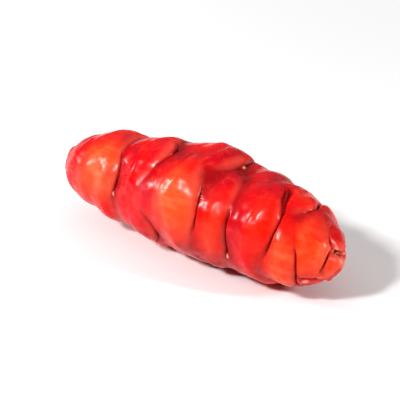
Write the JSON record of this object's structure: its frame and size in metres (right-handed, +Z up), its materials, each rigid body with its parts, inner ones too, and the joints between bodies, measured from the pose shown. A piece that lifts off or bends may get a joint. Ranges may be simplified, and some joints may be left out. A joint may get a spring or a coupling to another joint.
{
  "type": "yam tuber",
  "caption": "Knobbly spindle-shaped red root vegetable with plump overlapping scale-like swellings, slit-like eyes and a flattened resting side.",
  "frame": {"origin": "centre of the bounding box in plan, at the height of the surface the tuber rests on", "axes": "+X along the tuber toward its growing tip, +Z up, -Y toward the side that faces the viewer"},
  "size_m": [0.086, 0.0314, 0.0297],
  "materials": {
    "tuber_skin": "waxy"
  },
  "bodies": {
    "root": {"yam_tuber": "tuber_skin"}
  },
  "joints": []
}
